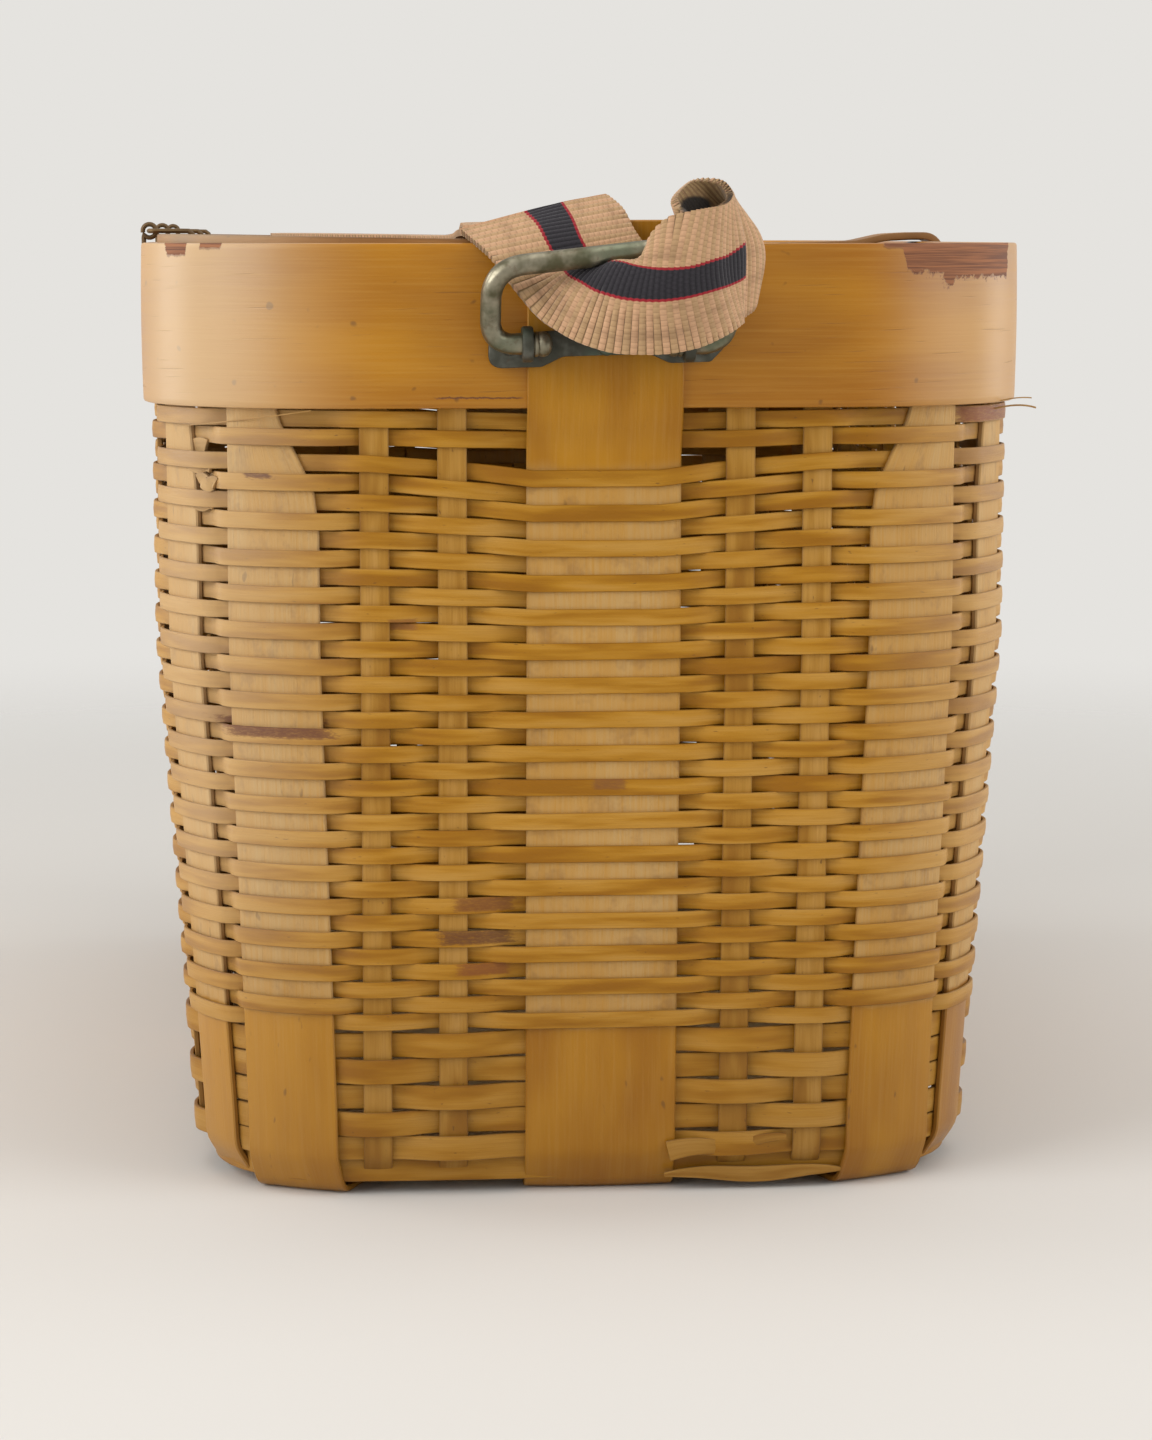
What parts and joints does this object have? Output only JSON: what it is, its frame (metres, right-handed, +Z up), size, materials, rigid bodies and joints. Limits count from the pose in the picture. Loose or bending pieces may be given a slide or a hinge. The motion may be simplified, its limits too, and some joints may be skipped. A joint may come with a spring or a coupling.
{
  "type": "wicker fishing creel",
  "caption": "Split-bamboo fishing creel with a woven hinged lid, fish hole, peg-free spring latch, swinging strap bails and a striped webbing strap.",
  "frame": {"origin": "under the middle of the base, on the surface the creel stands on", "axes": "+Z up, Y the long way with the -Y end at the front, +X towards the latch side"},
  "size_m": [0.1895, 0.3404, 0.2038],
  "materials": {
    "bent_bamboo": "satin, aged amber skin",
    "weaver_bamboo": "satin split bamboo",
    "strip_bamboo": "dry split bamboo",
    "splint_bamboo": "scraped bamboo with glossy skin at its ends",
    "stake_bamboo": "dry split bamboo",
    "bail_steel": "worn plating with a green-grey patina",
    "plate_steel": "dark steel with verdigris",
    "rivet_steel": "dull peened heads",
    "hinge_wire": "dull iron wire",
    "webbing": "thick ribbed cotton webbing with a dark stripe"
  },
  "bodies": {
    "creel": {"bail_rivets": "rivet_steel", "base_cross_strips": "strip_bamboo", "base_long_strips": "strip_bamboo", "base_weaver_1": "weaver_bamboo", "base_weaver_2": "weaver_bamboo", "base_weaver_3": "weaver_bamboo", "base_weaver_4": "weaver_bamboo", "centre_splint": "splint_bamboo", "cross_stakes": "stake_bamboo", "front_bail_plate": "plate_steel", "front_left_corner_splint": "splint_bamboo", "front_left_end_splint": "splint_bamboo", "front_right_corner_splint": "splint_bamboo", "front_right_end_splint": "splint_bamboo", "hinge_eyes": "hinge_wire", "inner_rim_band": "bent_bamboo", "latch_keeper": "bent_bamboo", "long_stakes": "stake_bamboo", "outer_rim_band": "bent_bamboo", "rear_bail_plate": "plate_steel", "rear_left_corner_splint": "splint_bamboo", "rear_left_end_splint": "splint_bamboo", "rear_right_corner_splint": "splint_bamboo", "rear_right_end_splint": "splint_bamboo", "side_splint": "splint_bamboo", "thin_weaver_01": "weaver_bamboo", "thin_weaver_02": "weaver_bamboo", "thin_weaver_03": "weaver_bamboo", "thin_weaver_04": "weaver_bamboo", "thin_weaver_05": "weaver_bamboo", "thin_weaver_06": "weaver_bamboo", "thin_weaver_07": "weaver_bamboo", "thin_weaver_08": "weaver_bamboo", "thin_weaver_09": "weaver_bamboo", "thin_weaver_10": "weaver_bamboo", "thin_weaver_11": "weaver_bamboo", "thin_weaver_12": "weaver_bamboo", "thin_weaver_13": "weaver_bamboo", "thin_weaver_14": "weaver_bamboo", "thin_weaver_15": "weaver_bamboo", "thin_weaver_16": "weaver_bamboo", "thin_weaver_17": "weaver_bamboo", "thin_weaver_18": "weaver_bamboo", "thin_weaver_19": "weaver_bamboo", "thin_weaver_20": "weaver_bamboo"},
    "lid": {"lid_hoop": "bent_bamboo", "lid_battens": "strip_bamboo", "lid_strips": "strip_bamboo", "fish_hole_frame": "bent_bamboo", "hinge_links": "hinge_wire", "latch_tongue": "bent_bamboo", "strap_run": "webbing"},
    "front_bail": {"front_bail": "bail_steel", "strap_hitch": "webbing"},
    "rear_bail": {"rear_bail": "bail_steel", "strap_rear_loop": "webbing"}
  },
  "joints": [
    {"name": "lid_hinge", "type": "hinge", "parent": "creel", "child": "lid", "pos_m": [-0.0894, 0, 0.19491], "axis": [0, -1, 0], "range_deg": [0, 105]},
    {"name": "front_bail_swing", "type": "hinge", "parent": "creel", "child": "front_bail", "pos_m": [0.0014, -0.1569, 0.1732], "axis": [1, 0, 0], "range_deg": [0, 65]},
    {"name": "rear_bail_swing", "type": "hinge", "parent": "creel", "child": "rear_bail", "pos_m": [0.0014, 0.1569, 0.1732], "axis": [-1, 0, 0], "range_deg": [0, 65]}
  ]
}
